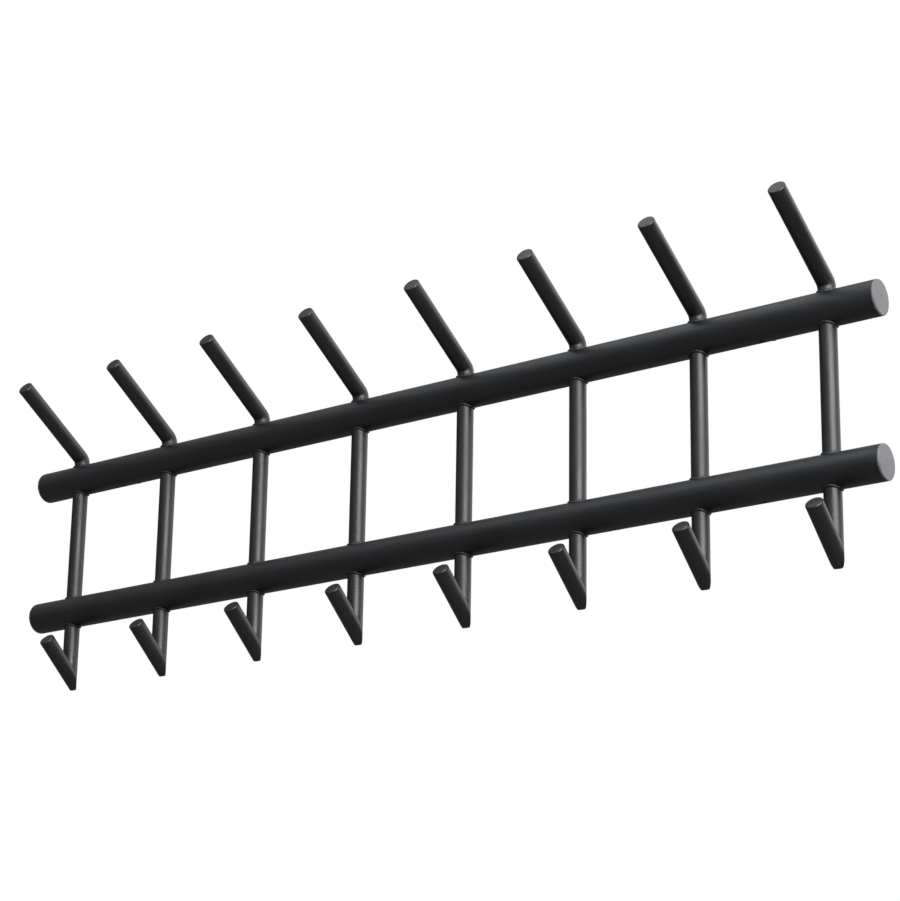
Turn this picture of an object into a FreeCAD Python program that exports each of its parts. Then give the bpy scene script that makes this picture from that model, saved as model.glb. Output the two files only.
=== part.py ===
"""Wall rack: two round rails crossed by a row of hook rods, on four hidden wall posts.

Every size is a cell of the Sizes sheet. Lengths are in millimetres, angles in degrees.
+X runs along the rails, +Y into the wall, +Z up. The origin lies on the wall plane, in
the middle of the four wall posts.
"""
import FreeCAD
import Part
import math
import os

import Sketcher
from FreeCAD import Rotation, Vector

os.makedirs("parts", exist_ok=True)
doc = FreeCAD.newDocument("wall_rack")

SIZES = [
    ("rod_count", 8, "hook rods in the row"),
    ("rod_pitch", 100, "distance from one hook rod to the next"),
    ("rod_diameter", 12.7, "round bar of the hook rods"),
    ("rail_diameter", 25.4, "outside of the rail tube"),
    ("rail_wall", 1.5, "wall of the rail tube"),
    ("rail_spacing", 116, "upper rail axis to lower rail axis"),
    ("rail_overhang", 40, "outer rod axis to the end of the rack"),
    ("wall_gap", 6, "wall plane to the back of the rails"),
    ("rod_clearance", 0.15, "radial gap of a rod in its rail holes"),
    ("weld_size", 1.5, "legs of the fillet welds at the rail holes"),
    ("peg_height", 18.5, "upper rail axis to the corner of a peg"),
    ("peg_angle", 58.5, "lean of a peg, away from upright"),
    ("peg_length", 84, "corner of a peg to its tip"),
    ("peg_bend", 7, "bend radius at a peg's corner, on the bar's axis"),
    ("hook_drop", 53.5, "lower rail axis to the mitred corner of a hook"),
    ("hook_angle", 49, "lean of a hook's leg, away from upright"),
    ("hook_length", 38, "corner of a hook to the tip of its leg"),
    ("hook_blunt", 2, "height ground off the point under a hook's corner"),
    ("tip_rounding", 1.0, "rounding of the cut ends of the bar"),
    ("cap_flange", 2.0, "thickness of an end cap outside the tube"),
    ("cap_rounding", 0.8, "rounding of an end cap's rim"),
    ("cap_depth", 14, "reach of an end cap into the tube"),
    ("cap_clearance", 0.35, "radial gap between an end cap's barrel and the tube"),
    ("cap_wall", 1.8, "wall of an end cap's barrel"),
    ("cap_rib", 1.6, "width of each rib that grips the tube"),
    ("cap_rib_pitch", 5, "distance from one rib to the next"),
    ("post_foot", 12, "diameter of a wall post between wall and rail"),
    ("post_neck", 10.4, "diameter of a wall post inside the rail"),
    ("post_clearance", 0.2, "radial gap of a wall post in its rail hole"),
    ("post_reach", 4, "reach of a wall post past the rail axis"),
    ("post_bore", 5.5, "hole for the wall screw"),
    ("post_sink", 9.5, "rim of the countersink for the wall screw"),
    ("groove_depth", 0.9, "groove round a wall post for its set screw"),
    ("groove_width", 5.6, "width of that groove"),
    ("screw_diameter", 5, "set screw in the underside of a rail"),
    ("screw_length", 8, "length of a set screw"),
    ("screw_hex", 2.5, "size across flats of a set screw's socket"),
    ("screw_socket", 2.6, "depth of that socket"),
    ("screw_point", 0.8, "length of the bevelled point of a set screw"),
]

sheet = doc.addObject("Spreadsheet::Sheet", "Sizes")
for row, (alias, size, note) in enumerate(SIZES, start=1):
    sheet.set(f"A{row}", alias)
    sheet.set(f"B{row}", str(size))
    sheet.set(f"C{row}", note)
    sheet.setAlias(f"B{row}", alias)
doc.recompute()

# Sizes that follow from the sheet, as expressions over its cells. The wall posts stand
# midway between the two outer rods at each end.
RAIL_R = "Sizes.rail_diameter / 2"
RAIL_AXIS_Y = "-(Sizes.wall_gap + Sizes.rail_diameter / 2)"
RAIL_BORE = "(Sizes.rail_diameter - 2 * Sizes.rail_wall)"
ROW_LENGTH = "(Sizes.rod_pitch * (Sizes.rod_count - 1))"
TUBE_LENGTH = f"({ROW_LENGTH} + 2 * (Sizes.rail_overhang - Sizes.cap_flange))"
BAR_R = "(Sizes.rod_diameter / 2)"
HOOK_Z = "(-Sizes.rail_spacing / 2 - Sizes.hook_drop)"
MITRE_ANGLE = "(Sizes.hook_angle / 2 * 1 deg)"
MITRE_LENGTH = f"({BAR_R} / tan({MITRE_ANGLE}))"
POST_PLACE = "(Sizes.rod_pitch * (Sizes.rod_count - 2) / 2)"
GROOVE_R = "(Sizes.post_neck / 2 - Sizes.groove_depth)"
RAILS = {"upper": "Sizes.rail_spacing / 2", "lower": "-Sizes.rail_spacing / 2"}
SIDES = {"left": -1, "right": 1}

# How far a cutting outline runs past the piece it cuts, as a multiple of the piece's own size.
PAST = 1.2
WELL_PAST = 4


def number(expression):
    """The present value of an expression, as a plain number."""
    return float(sheet.evalExpression(expression))


def bind(thing, **expressions):
    """Bind properties of an object to expressions over the sheet."""
    for name, expression in expressions.items():
        thing.setExpression(name.replace("__", "."), expression)


def place(thing, along_x="0", along_y="0", along_z="0"):
    """Bind where an object stands."""
    bind(thing, Placement__Base__x=along_x, Placement__Base__y=along_y, Placement__Base__z=along_z)


def new_part(kind, label, *parents):
    """A document object of one kind, labelled; parents are what a boolean works on."""
    thing = doc.addObject(kind, label)
    thing.Label = label
    if parents:
        thing.Base, thing.Tool = parents
    return thing


def new_sketch(body, plane_role, name):
    """A sketch on one of the body's own origin planes."""
    sketch = body.newObject("Sketcher::SketchObject", name)
    plane = next(item for item in body.Origin.OriginFeatures if item.Role == plane_role)
    sketch.AttachmentSupport = (plane, [""])
    sketch.MapMode = "FlatFace"
    return sketch


def dimension(sketch, expression, kind, *references):
    """A dimension of a sketch, bound to an expression."""
    unit = "1 deg" if kind == "Angle" else "1 mm"
    start = math.radians(number(expression)) if kind == "Angle" else number(expression)
    index = sketch.addConstraint(Sketcher.Constraint(kind, *references, start))
    sketch.setExpression(f"Constraints[{index}]", f"({expression}) * {unit}")


def draw_circle(sketch, diameter, centre_x="0", centre_y="0"):
    """A circle with its diameter and centre bound to expressions."""
    centre = Vector(number(centre_x), number(centre_y), 0)
    circle = sketch.addGeometry(Part.Circle(centre, Vector(0, 0, 1), number(diameter) / 2), False)
    dimension(sketch, diameter, "Diameter", circle)
    dimension(sketch, centre_x, "DistanceX", -1, 1, circle, 3)
    dimension(sketch, centre_y, "DistanceY", -1, 1, circle, 3)


def draw_outline(sketch, corners):
    """A closed outline of straight lines, each corner bound to a pair of expressions."""
    points = [Vector(number(across), number(up), 0) for across, up in corners]
    lines = [
        sketch.addGeometry(Part.LineSegment(start, end), False)
        for start, end in zip(points, points[1:] + points[:1])
    ]
    for line, following in zip(lines, lines[1:] + lines[:1]):
        sketch.addConstraint(Sketcher.Constraint("Coincident", line, 2, following, 1))
    for line, (across, up) in zip(lines, corners):
        dimension(sketch, across, "DistanceX", -1, 1, line, 1)
        dimension(sketch, up, "DistanceY", -1, 1, line, 1)


def add_pad(body, sketch, length, both_ways=False):
    """Pad a sketch, along its normal or half each way."""
    pad = body.newObject("PartDesign::Pad", sketch.Name + "_pad")
    pad.Profile = (sketch, [""])
    bind(pad, Length=length)
    if both_ways:
        pad.SideType = "Symmetric"
    doc.recompute()
    return pad


def add_pocket(body, sketch, both_ways=False):
    """Cut a sketch through everything behind it, or through everything both ways."""
    pocket = body.newObject("PartDesign::Pocket", sketch.Name + "_cut")
    pocket.Profile = (sketch, [""])
    pocket.Type = "ThroughAll"
    if both_ways:
        pocket.SideType = "Symmetric"
    volume_before = body.Shape.Volume
    doc.recompute()
    assert body.Shape.Volume < volume_before, f"{pocket.Name} cuts nothing"
    return pocket


def add_turned(body, kind, sketch, axis_name):
    """A revolution or groove of a sketch round one of its own axes."""
    turned = body.newObject(kind, sketch.Name + "_turned")
    turned.Profile = (sketch, [""])
    turned.ReferenceAxis = (sketch, [axis_name])
    turned.Angle = 360
    doc.recompute()
    return turned


def rod_positions():
    """Expressions for the rods' places along the rails, from left to right."""
    middle = "(Sizes.rod_count - 1) / 2"
    return [f"Sizes.rod_pitch * ({index} - {middle})" for index in range(int(number("Sizes.rod_count")))]


def round_end(body, radius, direction):
    """Round the edge that lies farthest along a direction of the body's own frame."""
    solid = body.Tip
    reach = [edge.CenterOfMass.dot(direction) for edge in solid.Shape.Edges]
    fillet = body.newObject("PartDesign::Fillet", body.Name + "_rounding")
    fillet.Base = (solid, [f"Edge{reach.index(max(reach)) + 1}"])
    bind(fillet, Radius=radius)
    doc.recompute()


# ---- rails -----------------------------------------------------------------------------


def make_rail(label, height):
    """A tube drilled for the rods, and at the back and below for the wall posts."""
    body = new_part("PartDesign::Body", label)
    place(body, along_y=RAIL_AXIS_Y, along_z=height)
    section = new_sketch(body, "YZ_Plane", label + "_section")
    draw_circle(section, "Sizes.rail_diameter")
    draw_circle(section, RAIL_BORE)
    add_pad(body, section, TUBE_LENGTH, both_ways=True)

    rod_hole = new_sketch(body, "XY_Plane", label + "_rod_hole")
    draw_circle(rod_hole, "Sizes.rod_diameter + 2 * Sizes.rod_clearance", f"-{ROW_LENGTH} / 2")
    pocket = add_pocket(body, rod_hole, both_ways=True)
    row = body.newObject("PartDesign::LinearPattern", label + "_rod_holes")
    row.Originals = [pocket]
    row.Direction = (rod_hole, ["H_Axis"])
    bind(row, Length=ROW_LENGTH, Occurrences="Sizes.rod_count")
    body.Tip = row
    doc.recompute()

    post_holes = new_sketch(body, "XZ_Plane", label + "_post_holes")
    screw_holes = new_sketch(body, "XY_Plane", label + "_screw_holes")
    for side in SIDES.values():
        across = f"{side} * {POST_PLACE}"
        draw_circle(post_holes, "Sizes.post_neck + 2 * Sizes.post_clearance", across)
        draw_circle(screw_holes, "Sizes.screw_diameter", across)
    add_pocket(body, post_holes)
    add_pocket(body, screw_holes)
    return body


def make_end_cap(label, side, height):
    """A push-in cap: a flange flush with the tube, a hollow barrel and two gripping ribs."""
    body = new_part("PartDesign::Body", label)
    if side < 0:
        body.Placement.Rotation = Rotation(Vector(0, 0, 1), 180)
    place(body, f"{side} * {TUBE_LENGTH} / 2", RAIL_AXIS_Y, height)
    barrel_r = f"({RAIL_BORE} / 2 - Sizes.cap_clearance)"
    hollow_r = f"({barrel_r} - Sizes.cap_wall)"
    corners = [("Sizes.cap_flange", "0"), ("Sizes.cap_flange", RAIL_R), ("0", RAIL_R), ("0", barrel_r)]
    for rib in (1, 2):
        rib_end = f"-{rib} * Sizes.cap_rib_pitch"
        rib_start = f"{rib_end} + Sizes.cap_rib"
        corners += [(rib_start, barrel_r), (rib_start, f"{RAIL_BORE} / 2")]
        corners += [(rib_end, f"{RAIL_BORE} / 2"), (rib_end, barrel_r)]
    corners += [("-Sizes.cap_depth", barrel_r), ("-Sizes.cap_depth", hollow_r), ("0", hollow_r), ("0", "0")]
    outline = new_sketch(body, "XY_Plane", label + "_outline")
    draw_outline(outline, corners)
    add_turned(body, "PartDesign::Revolution", outline, "H_Axis")
    round_end(body, "Sizes.cap_rounding", Vector(1, 0, 0))
    return body


# ---- hook rods -------------------------------------------------------------------------


def draw_peg_path(sketch):
    """The bar's axis from the middle of the rack up to the tip of the peg."""
    lean = math.radians(number("Sizes.peg_angle"))
    bend = number("Sizes.peg_bend")
    corner_length = "Sizes.peg_bend * tan(Sizes.peg_angle / 2 * 1 deg)"
    straight = f"Sizes.rail_spacing / 2 + Sizes.peg_height - {corner_length}"
    leaning = f"Sizes.peg_length - {corner_length}"
    bend_centre = Vector(-bend, number(straight), 0)
    bend_end = bend_centre + Vector(math.cos(lean), math.sin(lean), 0) * bend
    tip = bend_end + Vector(-math.sin(lean), math.cos(lean), 0) * number(leaning)
    circle = Part.Circle(bend_centre, Vector(0, 0, 1), bend)
    stem = sketch.addGeometry(Part.LineSegment(Vector(0, 0, 0), Vector(0, number(straight), 0)), False)
    corner = sketch.addGeometry(Part.ArcOfCircle(circle, 0, lean), False)
    peg = sketch.addGeometry(Part.LineSegment(bend_end, tip), False)
    sketch.addConstraint(Sketcher.Constraint("Coincident", stem, 1, -1, 1))
    sketch.addConstraint(Sketcher.Constraint("Vertical", stem))
    sketch.addConstraint(Sketcher.Constraint("Tangent", stem, 2, corner, 1))
    sketch.addConstraint(Sketcher.Constraint("Tangent", corner, 2, peg, 1))
    dimension(sketch, straight, "DistanceY", stem, 1, stem, 2)
    dimension(sketch, "Sizes.peg_bend", "Radius", corner)
    dimension(sketch, "90 + Sizes.peg_angle", "Angle", peg)
    dimension(sketch, leaning, "Distance", peg)


def make_hook_rod(label, across):
    """A bar bent into a peg at the top and cut to a mitre for the hook at the bottom."""
    body = new_part("PartDesign::Body", label)
    place(body, across, RAIL_AXIS_Y)
    section = new_sketch(body, "XY_Plane", label + "_section")
    draw_circle(section, "Sizes.rod_diameter")
    stem = add_pad(body, section, f"-{HOOK_Z} + {MITRE_LENGTH} - Sizes.hook_blunt")
    stem.Reversed = True
    path = new_sketch(body, "YZ_Plane", label + "_peg_path")
    draw_peg_path(path)
    peg = body.newObject("PartDesign::AdditivePipe", label + "_peg")
    peg.Profile = (section, [""])
    peg.Spine = (path, ["Edge1", "Edge2", "Edge3"])
    doc.recompute()

    mitre = new_sketch(body, "YZ_Plane", label + "_mitre")
    low = f"{HOOK_Z} - {PAST} * {MITRE_LENGTH}"
    high = f"{HOOK_Z} + {PAST} * {MITRE_LENGTH}"
    near, far = f"-{PAST} * {BAR_R}", f"{PAST} * {BAR_R}"
    draw_outline(mitre, [(far, low), (near, high), (near, low)])
    add_pocket(body, mitre, both_ways=True)
    round_end(body, "Sizes.tip_rounding", Vector(0, -1, 0))
    return body


def make_hook_leg(label, across):
    """The upturned leg of a hook, its own frame turned so that +Z runs along the leg."""
    body = new_part("PartDesign::Body", label)
    body.Placement.Rotation = Rotation(Vector(1, 0, 0), number("Sizes.hook_angle"))
    bind(body, Placement__Rotation__Angle="Sizes.hook_angle * 1 deg")
    place(body, across, RAIL_AXIS_Y, HOOK_Z)
    section = new_sketch(body, "XY_Plane", label + "_section")
    draw_circle(section, "Sizes.rod_diameter")
    leg = add_pad(body, section, "Sizes.hook_length")
    leg.SideType = "Two sides"
    bind(leg, Length2=MITRE_LENGTH)
    doc.recompute()

    # The mitre runs from the crotch down to the blunted point, then level to the outside.
    lean = "(Sizes.hook_angle * 1 deg)"
    point = f"((Sizes.hook_blunt - {MITRE_LENGTH}) / cos({MITRE_ANGLE}))"
    point_y, point_z = f"{point} * sin({MITRE_ANGLE})", f"{point} * cos({MITRE_ANGLE})"
    level_y = f"-{WELL_PAST} * {BAR_R} * cos({lean})"
    level_z = f"{WELL_PAST} * {BAR_R} * sin({lean})"
    below = f"-{WELL_PAST} * {MITRE_LENGTH}"
    mitre = new_sketch(body, "YZ_Plane", label + "_mitre")
    corners = [
        (f"{PAST} * {BAR_R}", f"{PAST} * {MITRE_LENGTH}"),
        (point_y, point_z),
        (f"{point_y} + {level_y}", f"{point_z} + {level_z}"),
        (f"{point_y} + {level_y}", below),
        (f"{PAST} * {BAR_R}", below),
    ]
    draw_outline(mitre, corners)
    add_pocket(body, mitre, both_ways=True)
    round_end(body, "Sizes.tip_rounding", Vector(0, 0, 1))
    return body


# ---- fillet welds ----------------------------------------------------------------------


def make_crossing_welds():
    """The two flat-faced welds, above and below the rail, of one crossing at the origin."""
    stub_length = f"(Sizes.rail_diameter + {WELL_PAST} * Sizes.weld_size)"
    tube = new_part("Part::Cylinder", "weld_tube")
    tube.Placement.Rotation = Rotation(Vector(0, 1, 0), 90)
    bind(tube, Radius=RAIL_R, Height=stub_length)
    place(tube, f"-{stub_length} / 2")
    stub = new_part("Part::Cylinder", "weld_stub")
    bind(stub, Radius=BAR_R, Height=stub_length)
    place(stub, along_z=f"-{stub_length} / 2")
    crossing = new_part("Part::Fuse", "weld_crossing", tube, stub)
    doc.recompute()

    seams = new_part("Part::Chamfer", "weld_seams")
    seams.Base = crossing
    leg = number("Sizes.weld_size")
    seams.Edges = [
        (index, leg, leg)
        for index, edge in enumerate(crossing.Shape.Edges, start=1)
        if edge.Curve.TypeId not in ("Part::GeomCircle", "Part::GeomLine")
    ]
    welds = new_part("Part::Cut", "weld_pair", seams, crossing)
    doc.recompute()
    return welds


def make_rail_welds(label, height, crossing_welds):
    """All the welds of one rail: the pair of one crossing, repeated at every rod."""
    row = new_part("Part::Feature", label)
    axis_y, axis_z = number(RAIL_AXIS_Y), number(height)
    places = [Vector(number(across), axis_y, axis_z) for across in rod_positions()]
    row.Shape = Part.makeCompound([crossing_welds.Shape.translated(spot) for spot in places])
    return row


# ---- wall fixing -----------------------------------------------------------------------


def make_wall_post(label, across, height):
    """A turned post: a foot that saddles the rail, and a bored neck that enters it."""
    body = new_part("PartDesign::Body", label)
    place(body, across, along_z=height)
    foot = new_sketch(body, "XZ_Plane", label + "_foot")
    draw_circle(foot, "Sizes.post_foot")
    add_pad(body, foot, f"-{RAIL_AXIS_Y}")
    saddle = new_sketch(body, "YZ_Plane", label + "_saddle")
    draw_circle(saddle, "Sizes.rail_diameter", RAIL_AXIS_Y)
    add_pocket(body, saddle, both_ways=True)
    neck = new_sketch(body, "XZ_Plane", label + "_neck")
    draw_circle(neck, "Sizes.post_neck")
    post_end = f"({RAIL_AXIS_Y} - Sizes.post_reach)"
    add_pad(body, neck, f"-{post_end}")

    bore_r, sink_r = "Sizes.post_bore / 2", "Sizes.post_sink / 2"
    sink_start = f"{post_end} + {sink_r} - {bore_r}"
    bore = new_sketch(body, "XY_Plane", label + "_bore")
    corners = [("0", "0"), (bore_r, "0"), (bore_r, sink_start), (sink_r, post_end), ("0", post_end)]
    draw_outline(bore, corners)
    add_turned(body, "PartDesign::Groove", bore, "V_Axis")

    outside = f"{PAST} * Sizes.post_neck / 2"
    groove_back = f"{RAIL_AXIS_Y} + Sizes.groove_width / 2"
    groove_front = f"{RAIL_AXIS_Y} - Sizes.groove_width / 2"
    groove = new_sketch(body, "XY_Plane", label + "_groove")
    corners = [(GROOVE_R, groove_back), (outside, groove_back)]
    corners += [(outside, groove_front), (GROOVE_R, groove_front)]
    draw_outline(groove, corners)
    add_turned(body, "PartDesign::Groove", groove, "V_Axis")
    return body


def make_set_screw(name, across, height):
    """A headless screw with a bevelled point, standing in a wall post's groove."""
    straight = "(Sizes.screw_length - Sizes.screw_point)"
    low_end = f"{height} - {GROOVE_R} - Sizes.screw_length"
    shank = new_part("Part::Cylinder", name + "_shank")
    bind(shank, Radius="Sizes.screw_diameter / 2", Height=straight)
    place(shank, across, RAIL_AXIS_Y, low_end)
    point = new_part("Part::Cone", name + "_point")
    bind(point, Radius1="Sizes.screw_diameter / 2", Height="Sizes.screw_point")
    bind(point, Radius2="Sizes.screw_diameter / 2 - Sizes.screw_point")
    place(point, across, RAIL_AXIS_Y, f"{low_end} + {straight}")
    socket = new_part("Part::Prism", name + "_socket")
    socket.Polygon = 6
    bind(socket, Circumradius="Sizes.screw_hex / 2 / cos(30 deg)", Height="Sizes.screw_socket")
    place(socket, across, RAIL_AXIS_Y, low_end)
    solid = new_part("Part::Fuse", name + "_solid", shank, point)
    return new_part("Part::Cut", name, solid, socket)


# ---- the assembly ----------------------------------------------------------------------


nodes = []
for place_number, across in enumerate(rod_positions(), start=1):
    nodes.append(make_hook_rod(f"hook_rod_{place_number}", across))
    nodes.append(make_hook_leg(f"hook_leg_{place_number}", across))

crossing_welds = make_crossing_welds()
screws = []
for rail, height in RAILS.items():
    nodes.append(make_rail(f"{rail}_rail", height))
    nodes.append(make_rail_welds(f"{rail}_rail_welds", height, crossing_welds))
    for side_name, side in SIDES.items():
        across = f"{side} * {POST_PLACE}"
        nodes.append(make_end_cap(f"{rail}_{side_name}_end_cap", side, height))
        nodes.append(make_wall_post(f"{rail}_{side_name}_wall_post", across, height))
        screws.append(make_set_screw(f"{rail}_{side_name}_set_screw", across, height))
set_screws = new_part("Part::Compound", "set_screws")
set_screws.Links = screws
nodes.append(set_screws)
doc.recompute()

for thing in doc.Objects:
    assert not {"Invalid", "Error"} & set(thing.State), f"{thing.Label}: {thing.State}"
for node in nodes:
    shape = node.Shape
    assert not shape.isNull() and shape.isValid() and shape.Solids, node.Label
    shape.exportStep(f"parts/{node.Label}.step")
    print(f"{node.Label}: {len(shape.Solids)} solids, {shape.Volume:.0f} mm3")
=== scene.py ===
"""Visual model of a wall coat rack: black powder-coated rails, pegs and hooks, with their welds,
end caps and hidden wall fixing. Sizes are in metres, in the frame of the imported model."""

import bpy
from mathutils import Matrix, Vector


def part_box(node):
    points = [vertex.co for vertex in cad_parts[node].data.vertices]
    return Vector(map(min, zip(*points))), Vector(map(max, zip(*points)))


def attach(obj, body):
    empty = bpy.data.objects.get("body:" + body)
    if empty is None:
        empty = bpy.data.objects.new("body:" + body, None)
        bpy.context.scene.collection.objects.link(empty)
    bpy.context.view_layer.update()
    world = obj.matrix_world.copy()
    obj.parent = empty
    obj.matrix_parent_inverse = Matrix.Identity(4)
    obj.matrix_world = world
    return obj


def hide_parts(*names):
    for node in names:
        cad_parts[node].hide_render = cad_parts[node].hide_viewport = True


bl_info = {
    "name": "Wall Coat Rack",
    "version": (1, 0, 0),
    "blender": (4, 5, 0),
    "location": "3D View > Sidebar > Coat Rack",
    "description": "Builds the bars, hooks, welds, end caps and stage of a wall coat rack",
    "category": "Object",
}

import math

import bmesh
import bpy
from bpy.props import FloatProperty, FloatVectorProperty, IntProperty, PointerProperty
from bpy.types import Operator, Panel, PropertyGroup
from mathutils import Matrix, Vector

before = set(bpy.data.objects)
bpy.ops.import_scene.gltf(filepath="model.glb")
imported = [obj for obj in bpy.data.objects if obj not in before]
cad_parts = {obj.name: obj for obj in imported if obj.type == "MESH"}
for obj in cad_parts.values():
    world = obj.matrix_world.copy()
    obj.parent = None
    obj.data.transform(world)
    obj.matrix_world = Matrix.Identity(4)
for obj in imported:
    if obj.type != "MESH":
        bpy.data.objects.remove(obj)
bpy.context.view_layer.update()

RAILS = ("upper", "lower")
SIDES = ("left", "right")
BAR_COUNT = sum(name.startswith("hook_rod_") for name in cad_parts)
BAR_NODES = [f"hook_rod_{place}" for place in range(1, BAR_COUNT + 1)]
LEG_NODES = [f"hook_leg_{place}" for place in range(1, BAR_COUNT + 1)]
MM = 0.001


def middle(node, axis):
    """The middle of a node's box along one axis."""
    low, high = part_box(node)
    return (low[axis] + high[axis]) / 2


def extent(node, axis):
    """The length of a node's box along one axis."""
    low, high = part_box(node)
    return high[axis] - low[axis]


RAIL_Y = middle("upper_rail", 1)
RAIL_Z = {rail: middle(f"{rail}_rail", 2) for rail in RAILS}
RAIL_RADIUS = extent("upper_rail", 2) / 2
RAIL_HALF = extent("upper_rail", 0) / 2
BAR_RADIUS = extent(BAR_NODES[0], 0) / 2
FIRST_BAR_X = middle(BAR_NODES[0], 0)
BAR_PITCH = (middle(BAR_NODES[-1], 0) - FIRST_BAR_X) / (BAR_COUNT - 1)
CAP_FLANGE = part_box("upper_right_end_cap")[1][0] - RAIL_HALF
POST_X = middle("upper_right_wall_post", 0)
TURNING_FEED = 0.35 * MM

# How finely the meshes are divided, and the angle beyond which an edge is shaded sharp.
TIP_STEPS = 5
BEND_STEPS = 14
PEG_STEP, BAR_STEP, LEG_STEP = 4 * MM, 5 * MM, 3 * MM
BEAD_STEPS, BEAD_SIDES = 208, 14
BAR_SHARP, CAP_SHARP = math.radians(40), math.radians(35)

# How worn each stretch of a bar is, from 0 to 1. A peg is worn most half way along.
TIP_RUB, BEND_RUB, BAR_RUB, BAR_FOOT_RUB = 0.9, 0.1, 0.0, 0.5
PEG_RUB, PEG_RUB_SWELL = 0.25, 0.5
LEG_RUB, LEG_FOOT_RUB = 0.3, 0.6

# A weld bead's least radius and the swell of its ripples, as shares of its radius.
BEAD_LEAST, BEAD_SWELL = 0.9, 0.16

# End cap: the tube's wall, then the cap's own sizes.
TUBE_WALL = 1.5 * MM
CAP_GAP, CAP_WALL, CAP_DEPTH = 0.35 * MM, 1.8 * MM, 14 * MM
CAP_DOME, CAP_RIM, CAP_INSET = 0.35 * MM, 0.8 * MM, 0.05 * MM
CAP_RIM_STEPS = 6
CAP_DIMPLE_DEPTH, CAP_DIMPLE_FLOOR, CAP_DIMPLE_RIM = 0.25 * MM, 1.1 * MM, 1.4 * MM
CAP_RIB_WIDTH, CAP_RIB_BEVEL, CAP_RIB_ENDS = 1.6 * MM, 0.2 * MM, (5 * MM, 10 * MM)

# Soft lights that stand still: place, side and colour. The front light goes with the camera.
LIGHTS = {
    "key": ((1.5, -0.9, 0.65), 1.5, (1.0, 0.985, 1.0)),
    "top": ((-0.1, -0.6, 1.5), 1.7, (0.80, 0.92, 1.0)),
    "back": ((1.0, 2.0, 0.7), 2.2, (1, 1, 1)),
}
FRONT_RIGHT, FRONT_UP, FRONT_SIDE = 0.5, 0.4, 1.0

# World light: from and to a direction's share of X or Z, then the light at each end.
WORLD_SIDEWAYS = (-0.8, 0.8, 0.38, 2.0)
WORLD_UPWARDS = (-0.15, 0.35, 0.10, 0.62)
FLOOR_HALF = 40


# ---- settings --------------------------------------------------------------------------


class CoatRackSizes(PropertyGroup):
    """Sizes of the bars, hooks and welds."""

    peg_height: FloatProperty(
        name="Peg Height", description="Upper rail axis to a peg's corner",
        default=18.5 * MM, subtype="DISTANCE", unit="LENGTH",
    )
    peg_length: FloatProperty(
        name="Peg Length", description="A peg's corner to its tip",
        default=84 * MM, subtype="DISTANCE", unit="LENGTH",
    )
    peg_lean: FloatProperty(
        name="Peg Lean", description="Lean of a peg away from upright",
        default=math.radians(58.5), subtype="ANGLE", unit="ROTATION",
    )
    peg_bend: FloatProperty(
        name="Peg Bend", description="Radius of the bend under a peg, on the bar's axis",
        default=7 * MM, subtype="DISTANCE", unit="LENGTH",
    )
    hook_drop: FloatProperty(
        name="Hook Drop", description="Lower rail axis to a hook's mitred corner",
        default=53.5 * MM, subtype="DISTANCE", unit="LENGTH",
    )
    hook_length: FloatProperty(
        name="Hook Length", description="A hook's corner to the tip of its leg",
        default=38 * MM, subtype="DISTANCE", unit="LENGTH",
    )
    hook_lean: FloatProperty(
        name="Hook Lean", description="Lean of a hook's leg away from upright",
        default=math.radians(49), subtype="ANGLE", unit="ROTATION",
    )
    hook_blunt: FloatProperty(
        name="Hook Blunt", description="Height ground off the point under a hook",
        default=2 * MM, subtype="DISTANCE", unit="LENGTH",
    )
    tip_rounding: FloatProperty(
        name="Tip Rounding", description="Rounding of the bars' cut ends",
        default=1 * MM, subtype="DISTANCE", unit="LENGTH",
    )
    bead_radius: FloatProperty(
        name="Bead Radius", description="Radius of the weld bead where a bar enters a rail",
        default=1.15 * MM, subtype="DISTANCE", unit="LENGTH",
    )
    bead_ripples: IntProperty(
        name="Bead Ripples", description="Ripples round one weld bead", default=26,
    )
    bar_sides: IntProperty(
        name="Bar Sides", description="Faces round a bar", default=56,
    )


class CoatRackFinish(PropertyGroup):
    """Colours and surface of the finishes."""

    coat_colour: FloatVectorProperty(
        name="Coat Colour", description="Black powder coat", subtype="COLOR", size=3,
        default=(0.0044, 0.0049, 0.0060),
    )
    coat_roughness: FloatProperty(
        name="Coat Roughness", description="Mean roughness of the powder coat", default=0.44,
    )
    cap_colour: FloatVectorProperty(
        name="Cap Colour", description="Plastic of the end caps", subtype="COLOR", size=3,
        default=(0.095, 0.097, 0.104),
    )
    post_colour: FloatVectorProperty(
        name="Post Colour", description="Zinc plate on the wall posts", subtype="COLOR", size=3,
        default=(0.60, 0.60, 0.58),
    )
    screw_colour: FloatVectorProperty(
        name="Screw Colour", description="Black oxide on the set screws", subtype="COLOR", size=3,
        default=(0.035, 0.035, 0.038),
    )


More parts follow.
